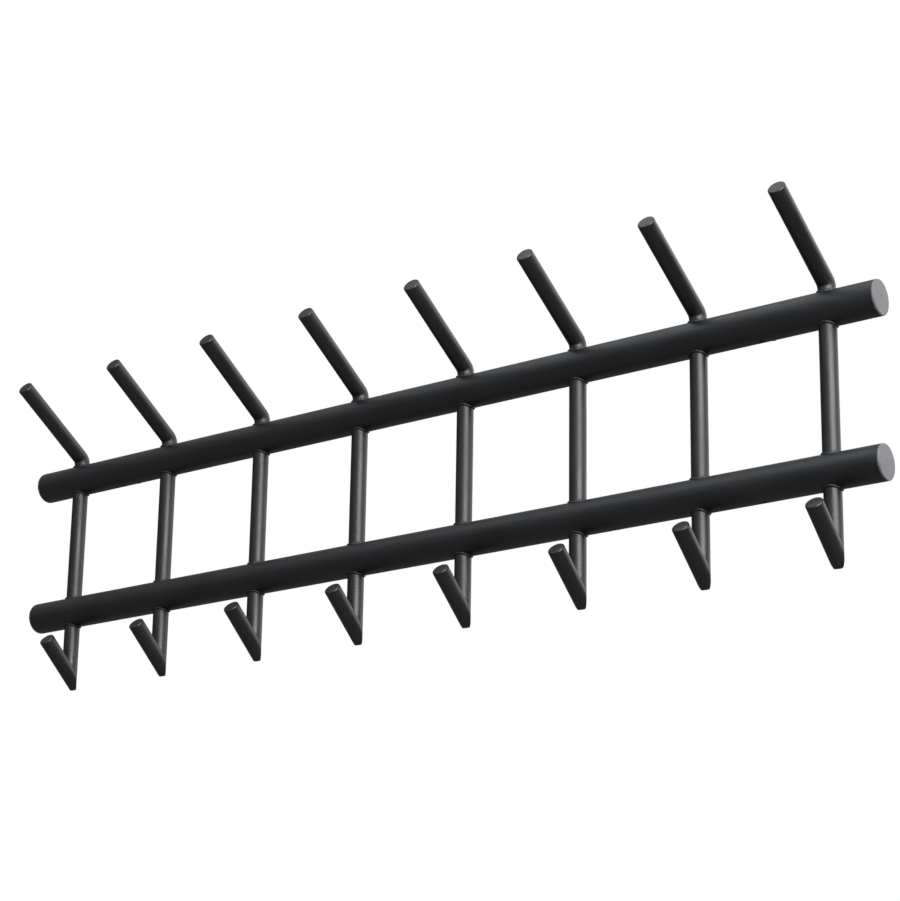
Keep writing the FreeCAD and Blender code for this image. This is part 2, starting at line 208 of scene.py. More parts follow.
class CoatRackStage(PropertyGroup):
    """Camera, lights and floor."""

    azimuth: FloatProperty(
        name="Azimuth", description="Camera's turn to the right of the front",
        default=math.radians(35.7), subtype="ANGLE", unit="ROTATION",
    )
    elevation: FloatProperty(
        name="Elevation", description="Camera's height above level, negative from below",
        default=math.radians(-15.3), subtype="ANGLE", unit="ROTATION",
    )
    roll: FloatProperty(
        name="Roll", description="Camera's turn about its own line of sight",
        default=math.radians(0.95), subtype="ANGLE", unit="ROTATION",
    )
    distance: FloatProperty(
        name="Distance", description="Camera to the middle of the rack, along its line of sight",
        default=1.7218, subtype="DISTANCE", unit="LENGTH",
    )
    aim_right: FloatProperty(
        name="Aim Right", description="How far right of the rack's middle the camera aims",
        default=30.0 * MM, subtype="DISTANCE", unit="LENGTH",
    )
    aim_up: FloatProperty(
        name="Aim Up", description="How far above the rack's middle the camera aims",
        default=-82.3 * MM, subtype="DISTANCE", unit="LENGTH",
    )
    lens: FloatProperty(
        name="Lens", description="Focal length of the camera in millimetres", default=90.7,
    )
    shift: FloatProperty(
        name="Shift", description="Rise of the lens, as a share of the frame", default=0.15,
    )
    key_power: FloatProperty(
        name="Key Power", description="Light from the right, in watts", default=60,
    )
    top_power: FloatProperty(
        name="Top Power", description="Light from above, in watts", default=10,
    )
    front_power: FloatProperty(
        name="Front Power", description="Light beside the camera, in watts", default=4,
    )
    back_power: FloatProperty(
        name="Back Power", description="Light from behind the rack, in watts", default=13,
    )
    floor_drop: FloatProperty(
        name="Floor Drop", description="Wall origin down to the floor",
        default=2.6, subtype="DISTANCE", unit="LENGTH",
    )


# ---- shader groups ---------------------------------------------------------------------


def new_group(name, inputs, outputs):
    """An empty shader group with float or vector sockets: {name: (type, default)}."""
    group = bpy.data.node_groups.new(name, "ShaderNodeTree")
    for socket, (kind, value) in inputs.items():
        made = group.interface.new_socket(socket, in_out="INPUT", socket_type=kind)
        if value is not None:
            made.default_value = value
    for socket, kind in outputs.items():
        group.interface.new_socket(socket, in_out="OUTPUT", socket_type=kind)
    return group, group.nodes.new("NodeGroupInput"), group.nodes.new("NodeGroupOutput")


def add_node(tree, kind, values=None, **settings):
    """A node with settings on itself and values on its inputs, by name or number."""
    node = tree.nodes.new(kind)
    for name, value in settings.items():
        setattr(node, name, value)
    for socket, value in (values or {}).items():
        node.inputs[socket].default_value = value
    return node


def add_math(tree, operation, *sides):
    """A Math node, in a shader or geometry tree; each side is a socket or a number."""
    node = add_node(tree, "ShaderNodeMath", operation=operation)
    for index, side in enumerate(sides):
        if isinstance(side, (int, float)):
            node.inputs[index].default_value = side
        else:
            tree.links.new(side, node.inputs[index])
    return node.outputs[0]


def add_noise(tree, vector, scale, detail=2.0, roughness=0.5):
    """A noise pattern; its factor socket."""
    node = add_node(tree, "ShaderNodeTexNoise", {"Detail": detail, "Roughness": roughness})
    tree.links.new(vector, node.inputs["Vector"])
    if isinstance(scale, (int, float)):
        node.inputs["Scale"].default_value = scale
    else:
        tree.links.new(scale, node.inputs["Scale"])
    return node.outputs["Fac"]


def add_range(tree, value, low, high, to_low, to_high):
    """Map a value from one range to another, clamped."""
    node = add_node(
        tree, "ShaderNodeMapRange",
        {"From Min": low, "From Max": high, "To Min": to_low, "To Max": to_high},
    )
    tree.links.new(value, node.inputs["Value"])
    return node.outputs["Result"]


def make_grain_group():
    """Orange peel and fine grain: a height, a slow drift for gloss and tone, and rare specks."""
    group, source, sink = new_group(
        "Coat Grain",
        {
            "Vector": ("NodeSocketVector", None),
            "Grain Scale": ("NodeSocketFloat", 900.0),
            "Peel Scale": ("NodeSocketFloat", 260.0),
            "Drift Scale": ("NodeSocketFloat", 22.0),
        },
        {"Height": "NodeSocketFloat", "Drift": "NodeSocketFloat", "Speck": "NodeSocketFloat"},
    )
    vector = source.outputs["Vector"]
    grain = add_noise(group, vector, source.outputs["Grain Scale"], 3.0, 0.6)
    peel = add_noise(group, vector, source.outputs["Peel Scale"], 1.0, 0.4)
    drift = add_noise(group, vector, source.outputs["Drift Scale"], 4.0, 0.55)
    height = add_math(group, "ADD", add_math(group, "MULTIPLY", grain, 0.45), peel)
    group.links.new(height, sink.inputs["Height"])
    group.links.new(add_range(group, drift, 0.3, 0.7, 0.0, 1.0), sink.inputs["Drift"])
    group.links.new(add_range(group, grain, 0.60, 0.74, 0.0, 1.0), sink.inputs["Speck"])
    return group


def new_material(name, slot_values):
    """A material with one Principled shader; constants are set on its own sockets."""
    material = bpy.data.materials.new(name)
    material.use_nodes = True
    tree = material.node_tree
    shader = tree.nodes["Principled BSDF"]
    for socket, value in slot_values.items():
        shader.inputs[socket].default_value = value
    coordinates = tree.nodes.new("ShaderNodeTexCoord").outputs["Object"]
    return material, tree, shader, coordinates


def add_grain(tree, coordinates, grain, drift, peel):
    """The coat grain group placed in a material."""
    node = add_node(
        tree, "ShaderNodeGroup", node_tree=bpy.data.node_groups["Coat Grain"],
    )
    node.inputs["Grain Scale"].default_value = grain
    node.inputs["Drift Scale"].default_value = drift
    node.inputs["Peel Scale"].default_value = peel
    tree.links.new(coordinates, node.inputs["Vector"])
    return node


def add_bump(tree, height, shader, distance, strength):
    """A bump from a height, into the shader's normal."""
    bump = add_node(tree, "ShaderNodeBump", {"Distance": distance, "Strength": strength})
    tree.links.new(height, bump.inputs["Height"])
    tree.links.new(bump.outputs["Normal"], shader.inputs["Normal"])


def mix_colour(tree, factor, first, second):
    """A blend of two colours, each a socket or a plain colour."""
    node = add_node(tree, "ShaderNodeMix", data_type="RGBA")
    tree.links.new(factor, node.inputs["Factor"])
    for socket, value in (("A", first), ("B", second)):
        target = next(item for item in node.inputs if item.name == socket and item.type == "RGBA")
        if isinstance(value, bpy.types.NodeSocket):
            tree.links.new(value, target)
        else:
            target.default_value = (*value, 1.0)
    return next(item for item in node.outputs if item.type == "RGBA")


def shade(colour, factor):
    """A colour made lighter or darker."""
    return tuple(channel * factor for channel in colour)


def make_powder_coat(finish):
    """Black powder coat: satin, with orange peel, drifting gloss and rubbed places."""
    material, tree, shader, coordinates = new_material(
        "Black Powder Coat", {"Metallic": 0.0, "IOR": 1.5, "Specular IOR Level": 0.5},
    )
    grain = add_grain(tree, coordinates, grain=1500.0, drift=22.0, peel=430.0)
    rub = tree.nodes.new("ShaderNodeAttribute")
    rub.attribute_name = "rub"
    dark, pale = shade(finish.coat_colour, 0.82), shade(finish.coat_colour, 1.18)
    toned = mix_colour(tree, grain.outputs["Drift"], dark, pale)
    flecked = mix_colour(tree, grain.outputs["Speck"], toned, shade(finish.coat_colour, 1.9))
    tree.links.new(flecked, shader.inputs["Base Color"])
    base = finish.coat_roughness
    rough = add_range(tree, grain.outputs["Drift"], 0.0, 1.0, base - 0.07, base + 0.07)
    polish = add_math(tree, "MULTIPLY", rub.outputs["Fac"], 0.14)
    tree.links.new(add_math(tree, "SUBTRACT", rough, polish), shader.inputs["Roughness"])
    add_bump(tree, grain.outputs["Height"], shader, distance=0.10 * MM, strength=0.8)
    return material


def make_cap_plastic(finish):
    """Fine matt moulded plastic of the end caps."""
    material, tree, shader, coordinates = new_material(
        "Cap Plastic", {"Metallic": 0.0, "IOR": 1.46, "Specular IOR Level": 0.4},
    )
    grain = add_grain(tree, coordinates, grain=1600.0, drift=60.0, peel=700.0)
    dark, pale = shade(finish.cap_colour, 0.9), shade(finish.cap_colour, 1.12)
    toned = mix_colour(tree, grain.outputs["Drift"], dark, pale)
    tree.links.new(toned, shader.inputs["Base Color"])
    rough = add_range(tree, grain.outputs["Drift"], 0.0, 1.0, 0.5, 0.6)
    tree.links.new(rough, shader.inputs["Roughness"])
    add_bump(tree, grain.outputs["Height"], shader, distance=0.02 * MM, strength=0.5)
    return material


def add_turning_marks(tree, coordinates):
    """Tool rings centred on each wall post, on its face and round its side."""
    mirrored = add_node(tree, "ShaderNodeVectorMath", operation="ABSOLUTE")
    tree.links.new(coordinates, mirrored.inputs[0])
    post_centre = {1: (POST_X, 0, RAIL_Z["upper"])}
    centred = add_node(tree, "ShaderNodeVectorMath", post_centre, operation="SUBTRACT")
    tree.links.new(mirrored.outputs[0], centred.inputs[0])
    flat = add_node(tree, "ShaderNodeVectorMath", {1: (1, 0, 1)}, operation="MULTIPLY")
    tree.links.new(centred.outputs[0], flat.inputs[0])
    radius = add_node(tree, "ShaderNodeVectorMath", operation="LENGTH")
    tree.links.new(flat.outputs[0], radius.inputs[0])
    depth = add_node(tree, "ShaderNodeSeparateXYZ")
    tree.links.new(mirrored.outputs[0], depth.inputs[0])
    feed = add_math(tree, "ADD", radius.outputs["Value"], depth.outputs["Y"])
    return add_math(tree, "SINE", add_math(tree, "MULTIPLY", feed, 2 * math.pi / TURNING_FEED))


def make_turned_metal(name, colour, roughness, metallic):
    """Turned steel with its tool rings showing through the finish."""
    material, tree, shader, coordinates = new_material(name, {"Metallic": metallic})
    grain = add_grain(tree, coordinates, grain=1400.0, drift=90.0, peel=500.0)
    rings = add_turning_marks(tree, coordinates)
    toned = mix_colour(tree, grain.outputs["Drift"], shade(colour, 0.8), shade(colour, 1.1))
    tree.links.new(toned, shader.inputs["Base Color"])
    rough = add_range(tree, grain.outputs["Drift"], 0.0, 1.0, roughness - 0.06, roughness + 0.1)
    tree.links.new(rough, shader.inputs["Roughness"])
    height = add_math(tree, "ADD", rings, add_math(tree, "MULTIPLY", grain.outputs["Height"], 0.8))
    add_bump(tree, height, shader, distance=0.02 * MM, strength=0.6)
    return material


# ---- meshes ----------------------------------------------------------------------------


def ring_points(centre, axis, radius, sides):
    """A circle about an axis in the YZ plane, starting along +X."""
    across = Vector((1, 0, 0))
    other = axis.cross(across)
    turns = [2 * math.pi * side / sides for side in range(sides)]
    return [centre + (across * math.cos(turn) + other * math.sin(turn)) * radius for turn in turns]


def skin_rings(name, rings, rubs):
    """A closed mesh over rings of equal count, with a rub mask for each ring."""
    mesh = bpy.data.meshes.new(name)
    sides = len(rings[0])
    points = [point for ring in rings for point in ring]
    faces = []
    for start in range(0, len(points) - sides, sides):
        for side in range(sides):
            following = (side + 1) % sides
            near, far = start, start + sides
            faces.append((near + side, near + following, far + following, far + side))
    first_middle, last_middle = len(points), len(points) + 1
    last = len(points) - sides
    for ring_start, hub in ((0, first_middle), (last, last_middle)):
        for side in range(sides):
            following = (side + 1) % sides
            faces.append((ring_start + side, ring_start + following, hub))
    points += [sum(ring, Vector()) / sides for ring in (rings[0], rings[-1])]
    mesh.from_pydata(points, [], faces)
    work = bmesh.new()
    work.from_mesh(mesh)
    bmesh.ops.recalc_face_normals(work, faces=work.faces)
    work.to_mesh(mesh)
    work.free()
    layer = mesh.attributes.new("rub", "FLOAT", "POINT")
    values = [rub for rub in rubs for _ in range(sides)] + [rubs[0], rubs[-1]]
    layer.data.foreach_set("value", values)
    mesh.shade_smooth()
    mesh.set_sharp_from_angle(angle=BAR_SHARP)
    return mesh


def tip_rings(tip, outward, radius, rounding, sides):
    """Rings of a cut end with a rounded rim, from the end face inwards."""
    rings = []
    for step in range(TIP_STEPS + 1):
        turn = math.pi / 2 * step / TIP_STEPS
        inset = rounding * (1 - math.sin(turn))
        back = rounding * (1 - math.cos(turn))
        rings.append(ring_points(tip - outward * back, outward, radius - inset, sides))
    return rings


def straight_rings(start, end, radius, sides, spacing):
    """Rings from after start up to end, evenly spaced."""
    run = end - start
    steps = max(1, round(run.length / spacing))
    axis = run.normalized()
    places = [start + run * step / steps for step in range(1, steps + 1)]
    return [ring_points(place, -axis, radius, sides) for place in places]


def trim(mesh, cuts):
    """Cut a mesh back to planes, given as a place and a way out, and close each cut flat."""
    work = bmesh.new()
    work.from_mesh(mesh)
    for place, outward in cuts:
        cut = bmesh.ops.bisect_plane(
            work, geom=[*work.verts, *work.edges, *work.faces],
            plane_co=place, plane_no=outward, clear_outer=True, dist=1e-7,
        )
        rim = [item for item in cut["geom_cut"] if isinstance(item, bmesh.types.BMEdge)]
        bmesh.ops.contextual_create(work, geom=rim)
        for edge in rim:
            edge.smooth = False
    bmesh.ops.recalc_face_normals(work, faces=work.faces)
    work.to_mesh(mesh)
    work.free()
    return mesh


def hook_corner(sizes):
    """The corner of a hook, how far its mitre reaches from it, and the bar's two cuts."""
    corner = Vector((0, RAIL_Y, RAIL_Z["lower"] - sizes.hook_drop))
    half = sizes.hook_lean / 2
    reach = BAR_RADIUS / math.tan(half)
    mitre = (corner, Vector((0, -math.cos(half), -math.sin(half))))
    level = (corner - Vector((0, 0, reach - sizes.hook_blunt)), Vector((0, 0, -1)))
    return corner, reach, mitre, level


def build_bar_mesh(sizes):
    """One bar at X = 0: peg tip, peg, bend, straight bar, mitred foot."""
    sides = sizes.bar_sides
    lean, bend = sizes.peg_lean, sizes.peg_bend
    corner = Vector((0, RAIL_Y, RAIL_Z["upper"] + sizes.peg_height))
    along_peg = Vector((0, -math.sin(lean), math.cos(lean)))
    tangent = bend * math.tan(lean / 2)
    tip = corner + along_peg * sizes.peg_length
    rings = tip_rings(tip, along_peg, BAR_RADIUS, sizes.tip_rounding, sides)
    rubs = [TIP_RUB] * len(rings)
    peg_start = corner + along_peg * (sizes.peg_length - sizes.tip_rounding)
    peg_end = corner + along_peg * tangent
    peg_rings = straight_rings(peg_start, peg_end, BAR_RADIUS, sides, PEG_STEP)
    rings += peg_rings
    turns = [math.pi * step / len(peg_rings) for step in range(len(peg_rings))]
    rubs += [PEG_RUB + PEG_RUB_SWELL * math.sin(turn) for turn in turns]
    centre = corner + Vector((0, -bend, -tangent))
    for step in range(1, BEND_STEPS + 1):
        turn = lean * (1 - step / BEND_STEPS)
        outward = Vector((0, math.cos(turn), math.sin(turn)))
        along = Vector((0, -math.sin(turn), math.cos(turn)))
        rings.append(ring_points(centre + outward * bend, along, BAR_RADIUS, sides))
        rubs.append(BEND_RUB)
    foot, reach, mitre, level = hook_corner(sizes)
    bar_top = corner - Vector((0, 0, tangent))
    crotch = foot + Vector((0, 0, reach))
    down_rings = straight_rings(bar_top, crotch, BAR_RADIUS, sides, BAR_STEP)
    foot_end = foot - Vector((0, 0, reach))
    foot_rings = straight_rings(crotch, foot_end, BAR_RADIUS, sides, BAR_STEP)
    rings += down_rings + foot_rings
    rubs += [BAR_RUB] * len(down_rings) + [BAR_FOOT_RUB] * len(foot_rings)
    return trim(skin_rings("Hook Bars", rings, rubs), (mitre, level))


def build_leg_mesh(sizes):
    """One hook leg at X = 0: rounded tip, leg, mitred foot."""
    sides = sizes.bar_sides
    foot, reach, mitre, level = hook_corner(sizes)
    along = Vector((0, -math.sin(sizes.hook_lean), math.cos(sizes.hook_lean)))
    tip = foot + along * sizes.hook_length
    rings = tip_rings(tip, along, BAR_RADIUS, sizes.tip_rounding, sides)
    rubs = [TIP_RUB] * len(rings)
    leg_start = tip - along * sizes.tip_rounding
    crotch = foot + along * reach
    leg_rings = straight_rings(leg_start, crotch, BAR_RADIUS, sides, LEG_STEP)
    foot_rings = straight_rings(crotch, foot - along * reach, BAR_RADIUS, sides, LEG_STEP)
    rings += leg_rings + foot_rings
    rubs += [LEG_RUB] * len(leg_rings) + [LEG_FOOT_RUB] * len(foot_rings)
    return trim(skin_rings("Hook Legs", rings, rubs), ((mitre[0], -mitre[1]), level))


def build_cap_mesh(sides=96):
    """One end cap, its flange's inner face at X = 0 and its outer face along +X."""
    bore = RAIL_RADIUS - TUBE_WALL
    barrel = bore - CAP_GAP
    hollow = barrel - CAP_WALL
    dimple = CAP_FLANGE - CAP_DIMPLE_DEPTH
    profile = [(dimple, 0.0), (dimple, CAP_DIMPLE_FLOOR), (CAP_FLANGE, CAP_DIMPLE_RIM)]
    profile.append((CAP_FLANGE - CAP_DOME * 0.3, RAIL_RADIUS * 0.5))
    profile.append((CAP_FLANGE - CAP_DOME, RAIL_RADIUS - CAP_RIM * 1.3))
    for step in range(CAP_RIM_STEPS + 1):
        turn = math.pi / 2 * step / CAP_RIM_STEPS
        profile.append((
            CAP_FLANGE - CAP_DOME - CAP_RIM * (1 - math.cos(turn)),
            RAIL_RADIUS - CAP_RIM * (1 - math.sin(turn)) - CAP_INSET,
        ))
    profile += [(0.15 * MM, RAIL_RADIUS - CAP_INSET), (0.0, RAIL_RADIUS - 0.3 * MM), (0.0, barrel)]
    for rib_end in CAP_RIB_ENDS:
        rib_start = CAP_RIB_WIDTH - rib_end
        profile += [(rib_start, barrel), (rib_start - CAP_RIB_BEVEL, bore)]
        profile += [(CAP_RIB_BEVEL - rib_end, bore), (-rib_end, barrel)]
    profile += [(-CAP_DEPTH, barrel), (-CAP_DEPTH, hollow), (0.0, hollow), (0.0, 0.0)]
    work = bmesh.new()
    points = [work.verts.new((along, radius, 0)) for along, radius in profile]
    edges = [work.edges.new(pair) for pair in zip(points, points[1:])]
    bmesh.ops.spin(
        work, geom=points + edges, cent=(0, 0, 0), axis=(1, 0, 0), angle=2 * math.pi, steps=sides,
    )
    bmesh.ops.remove_doubles(work, verts=work.verts, dist=1e-6)
    bmesh.ops.recalc_face_normals(work, faces=work.faces)
    mesh = bpy.data.meshes.new("End Caps")
    work.to_mesh(mesh)
    work.free()
    mesh.shade_smooth()
    mesh.set_sharp_from_angle(angle=CAP_SHARP)
    return mesh


# ---- geometry nodes --------------------------------------------------------------------


def new_tree(name, inputs):
    """A geometry tree with a geometry in and out and named inputs: {name: (type, default)}."""
    tree = bpy.data.node_groups.new(name, "GeometryNodeTree")
    tree.is_modifier = True
    tree.interface.new_socket("Geometry", in_out="INPUT", socket_type="NodeSocketGeometry")
    for socket, (kind, value) in inputs.items():
        made = tree.interface.new_socket(socket, in_out="INPUT", socket_type=kind)
        if value is not None:
            made.default_value = value
    tree.interface.new_socket("Geometry", in_out="OUTPUT", socket_type="NodeSocketGeometry")
    return tree, tree.nodes.new("NodeGroupInput"), tree.nodes.new("NodeGroupOutput")


def add_row(tree, geometry, source):
    """Repeat a geometry along X: Count copies, Pitch apart, the first at Start."""
    offset = add_node(tree, "ShaderNodeCombineXYZ")
    start = add_node(tree, "ShaderNodeCombineXYZ")
    tree.links.new(source.outputs["Pitch"], offset.inputs["X"])
    tree.links.new(source.outputs["Start"], start.inputs["X"])
    line = add_node(tree, "GeometryNodeMeshLine", mode="OFFSET")
    tree.links.new(source.outputs["Count"], line.inputs["Count"])
    tree.links.new(start.outputs[0], line.inputs["Start Location"])
    tree.links.new(offset.outputs[0], line.inputs["Offset"])
    copies = add_node(tree, "GeometryNodeInstanceOnPoints")
    tree.links.new(line.outputs["Mesh"], copies.inputs["Points"])
    tree.links.new(geometry, copies.inputs["Instance"])
    return copies.outputs["Instances"]


def end_tree(tree, geometry, source, sink):
    """Realize Instances and Set Material, the end of every tree."""
    real = add_node(tree, "GeometryNodeRealizeInstances")
    finish = add_node(tree, "GeometryNodeSetMaterial")
    tree.links.new(geometry, real.inputs["Geometry"])
    tree.links.new(real.outputs["Geometry"], finish.inputs["Geometry"])
    tree.links.new(source.outputs["Material"], finish.inputs["Material"])
    tree.links.new(finish.outputs["Geometry"], sink.inputs["Geometry"])


ROW_INPUTS = {
    "Count": ("NodeSocketInt", BAR_COUNT),
    "Pitch": ("NodeSocketFloat", BAR_PITCH),
    "Start": ("NodeSocketFloat", FIRST_BAR_X),
    "Material": ("NodeSocketMaterial", None),
}


def make_row_tree():
    """Repeats the piece along the rails."""
    tree, source, sink = new_tree("Rack Row", ROW_INPUTS)
    end_tree(tree, add_row(tree, source.outputs["Geometry"], source), source, sink)
    return tree


def make_bead_tree():
    """Rippled weld beads on the saddle line where each bar enters each rail."""
    inputs = {
        "Bar Radius": ("NodeSocketFloat", BAR_RADIUS),
        "Rail Radius": ("NodeSocketFloat", RAIL_RADIUS),
        "Bead Radius": ("NodeSocketFloat", 0.001),
        "Ripples": ("NodeSocketInt", 26),
        "Upper Rail": ("NodeSocketVector", (0, RAIL_Y, RAIL_Z["upper"])),
        "Lower Rail": ("NodeSocketVector", (0, RAIL_Y, RAIL_Z["lower"])),
        **ROW_INPUTS,
    }
    tree, source, sink = new_tree("Weld Beads", inputs)
    link = tree.links.new

    circle = add_node(tree, "GeometryNodeCurvePrimitiveCircle", {"Resolution": BEAD_STEPS})
    link(source.outputs["Bar Radius"], circle.inputs["Radius"])
    place = add_node(tree, "ShaderNodeSeparateXYZ")
    link(add_node(tree, "GeometryNodeInputPosition").outputs[0], place.inputs[0])
    across = add_math(tree, "POWER", place.outputs["Y"], 2.0)
    rail = add_math(tree, "POWER", source.outputs["Rail Radius"], 2.0)
    saddle = add_math(tree, "SQRT", add_math(tree, "SUBTRACT", rail, across))
    lifted = add_node(tree, "ShaderNodeCombineXYZ")
    link(place.outputs["X"], lifted.inputs["X"])
    link(place.outputs["Y"], lifted.inputs["Y"])
    link(saddle, lifted.inputs["Z"])
    bend = add_node(tree, "GeometryNodeSetPosition")
    link(circle.outputs["Curve"], bend.inputs["Geometry"])
    link(lifted.outputs[0], bend.inputs["Position"])

    index = add_node(tree, "GeometryNodeInputIndex").outputs[0]
    turn = add_math(tree, "MULTIPLY", index, math.pi / BEAD_STEPS)
    wave = add_math(tree, "SINE", add_math(tree, "MULTIPLY", turn, source.outputs["Ripples"]))
    swell = add_math(tree, "MULTIPLY", add_math(tree, "ABSOLUTE", wave), BEAD_SWELL)
    widths = add_node(tree, "GeometryNodeSetCurveRadius")
    link(bend.outputs["Geometry"], widths.inputs["Curve"])
    link(add_math(tree, "ADD", swell, BEAD_LEAST), widths.inputs["Radius"])
    profile = add_node(tree, "GeometryNodeCurvePrimitiveCircle", {"Resolution": BEAD_SIDES})
    link(source.outputs["Bead Radius"], profile.inputs["Radius"])
    bead = add_node(tree, "GeometryNodeCurveToMesh")
    link(widths.outputs["Curve"], bead.inputs["Curve"])
    link(profile.outputs["Curve"], bead.inputs["Profile Curve"])
    link(add_node(tree, "GeometryNodeInputRadius").outputs[0], bead.inputs["Scale"])

    both = add_node(tree, "GeometryNodeJoinGeometry")
    for socket in ("Upper Rail", "Lower Rail"):
        for half_turn in (0.0, math.pi):
            turned = add_node(tree, "GeometryNodeTransform", {"Rotation": (half_turn, 0, 0)})
            link(bead.outputs["Mesh"], turned.inputs["Geometry"])
            link(source.outputs[socket], turned.inputs["Translation"])
            link(turned.outputs["Geometry"], both.inputs["Geometry"])
    end_tree(tree, add_row(tree, both.outputs["Geometry"], source), source, sink)
    return tree


def apply_tree(name, mesh, tree, material, **inputs):
    """A new object whose mesh is what the tree makes of a mesh, with no modifier left."""
    seed = bpy.data.objects.new(name + "_seed", mesh)
    bpy.context.scene.collection.objects.link(seed)
    modifier = seed.modifiers.new(name, "NODES")
    modifier.node_group = tree
    inlets = [item for item in tree.interface.items_tree if item.in_out == "INPUT"]
    sockets = {item.name: item.identifier for item in inlets}
    modifier[sockets["Material"]] = material
    for socket, value in inputs.items():
        modifier[sockets[socket.replace("_", " ")]] = value
    evaluated = seed.evaluated_get(bpy.context.evaluated_depsgraph_get())
    made = bpy.data.meshes.new_from_object(evaluated)
    made.name = name
    bpy.data.objects.remove(seed)
    piece = bpy.data.objects.new(name, made)
    bpy.context.scene.collection.objects.link(piece)
    return piece


def seat_piece(piece, slot, *nodes):
    """Ride a finished piece on the rack, in place of its CAD nodes."""
    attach(piece, "root")
    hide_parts(*nodes)


def finish_node(node, material):
    """Give a CAD node its finish."""
    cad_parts[node].data.materials.clear()
    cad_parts[node].data.materials.append(material)


# ---- operators -------------------------------------------------------------------------


class COATRACK_OT_finishes(Operator):
    """Make the finishes and give the rails, posts and set screws theirs"""

    bl_idname = "coatrack.finishes"
    bl_label = "Make Finishes"

    def execute(self, context):
        finish = context.scene.coat_rack_finish
        make_grain_group()
        coat = make_powder_coat(finish)
        make_cap_plastic(finish)
        zinc = make_turned_metal("Zinc Plate", finish.post_colour, 0.34, 1.0)
        oxide = make_turned_metal("Black Oxide", finish.screw_colour, 0.42, 0.6)
        for rail in RAILS:
            finish_node(f"{rail}_rail", coat)
            for side in SIDES:
                finish_node(f"{rail}_{side}_wall_post", zinc)
        finish_node("set_screws", oxide)
        return {"FINISHED"}


class COATRACK_OT_bars(Operator):
    """Build the row of bars with their pegs"""

    bl_idname = "coatrack.bars"
    bl_label = "Build Bars"

    def execute(self, context):
        mesh = build_bar_mesh(context.scene.coat_rack_sizes)
        coat = bpy.data.materials["Black Powder Coat"]
        piece = apply_tree("hook_bars", mesh, make_row_tree(), coat)
        seat_piece(piece, "rack_paint", *BAR_NODES)
        return {"FINISHED"}


class COATRACK_OT_legs(Operator):
    """Build the upturned legs of the hooks"""

    bl_idname = "coatrack.legs"
    bl_label = "Build Hook Legs"

    def execute(self, context):
        mesh = build_leg_mesh(context.scene.coat_rack_sizes)
        coat = bpy.data.materials["Black Powder Coat"]
        piece = apply_tree("hook_legs", mesh, bpy.data.node_groups["Rack Row"], coat)
        seat_piece(piece, "rack_paint", *LEG_NODES)
        return {"FINISHED"}


class COATRACK_OT_welds(Operator):
    """Lay the weld beads where the bars enter the rails"""

    bl_idname = "coatrack.welds"
    bl_label = "Lay Weld Beads"

    def execute(self, context):
        sizes = context.scene.coat_rack_sizes
        piece = apply_tree(
            "weld_beads", bpy.data.meshes.new("Weld Beads"), make_bead_tree(),
            bpy.data.materials["Black Powder Coat"],
            Bead_Radius=sizes.bead_radius, Ripples=sizes.bead_ripples,
        )
        piece.data.shade_smooth()
        seat_piece(piece, "rack_paint", *(f"{rail}_rail_welds" for rail in RAILS))
        return {"FINISHED"}


class COATRACK_OT_caps(Operator):
    """Mould the four end caps"""

    bl_idname = "coatrack.caps"
    bl_label = "Mould End Caps"

    def execute(self, context):
        mesh = build_cap_mesh()
        mesh.materials.append(bpy.data.materials["Cap Plastic"])
        for rail in RAILS:
            for side, turn in zip(SIDES, (math.pi, 0.0)):
                place = Vector((RAIL_HALF * math.cos(turn), RAIL_Y, RAIL_Z[rail]))
                placed = mesh.copy()
                placed.transform(Matrix.Translation(place) @ Matrix.Rotation(turn, 4, "Z"))
                piece = bpy.data.objects.new(f"{rail}_{side}_cap", placed)
                context.scene.collection.objects.link(piece)
                seat_piece(piece, "cap_plastic", f"{rail}_{side}_end_cap")
        bpy.data.meshes.remove(mesh)
        return {"FINISHED"}


def add_area_light(name, place, target, size, power, colour):
    """A square soft light that faces a target."""
    light = bpy.data.lights.new(name, "AREA")
    light.shape = "SQUARE"
    light.size = size
    light.energy = power
    light.color = colour
    lamp = bpy.data.objects.new(name, light)
    lamp.location = place
    lamp.rotation_mode = "QUATERNION"
    lamp.rotation_quaternion = (target - Vector(place)).to_track_quat("-Z", "Y")
    bpy.context.scene.collection.objects.link(lamp)


def make_world():
    """White to the eye; dim, and brighter towards the right, as a light."""
    world = bpy.data.worlds.new("Studio")
    bpy.context.scene.world = world
    world.use_nodes = True
    tree = world.node_tree
    tree.nodes.clear()
    sink = add_node(tree, "ShaderNodeOutputWorld")
    seen = add_node(tree, "ShaderNodeBackground", {"Color": (1, 1, 1, 1), "Strength": 1.0})
    lit = add_node(tree, "ShaderNodeBackground", {"Strength": 1.0})
    direction = add_node(tree, "ShaderNodeSeparateXYZ")
    tree.links.new(add_node(tree, "ShaderNodeTexCoord").outputs["Generated"], direction.inputs[0])
    sideways = add_range(tree, direction.outputs["X"], *WORLD_SIDEWAYS)
    upwards = add_range(tree, direction.outputs["Z"], *WORLD_UPWARDS)
    tree.links.new(add_math(tree, "MULTIPLY", sideways, upwards), lit.inputs["Color"])
    mix = add_node(tree, "ShaderNodeMixShader")
    tree.links.new(add_node(tree, "ShaderNodeLightPath").outputs["Is Camera Ray"], mix.inputs[0])
    tree.links.new(lit.outputs[0], mix.inputs[1])
    tree.links.new(seen.outputs[0], mix.inputs[2])
    tree.links.new(mix.outputs[0], sink.inputs["Surface"])


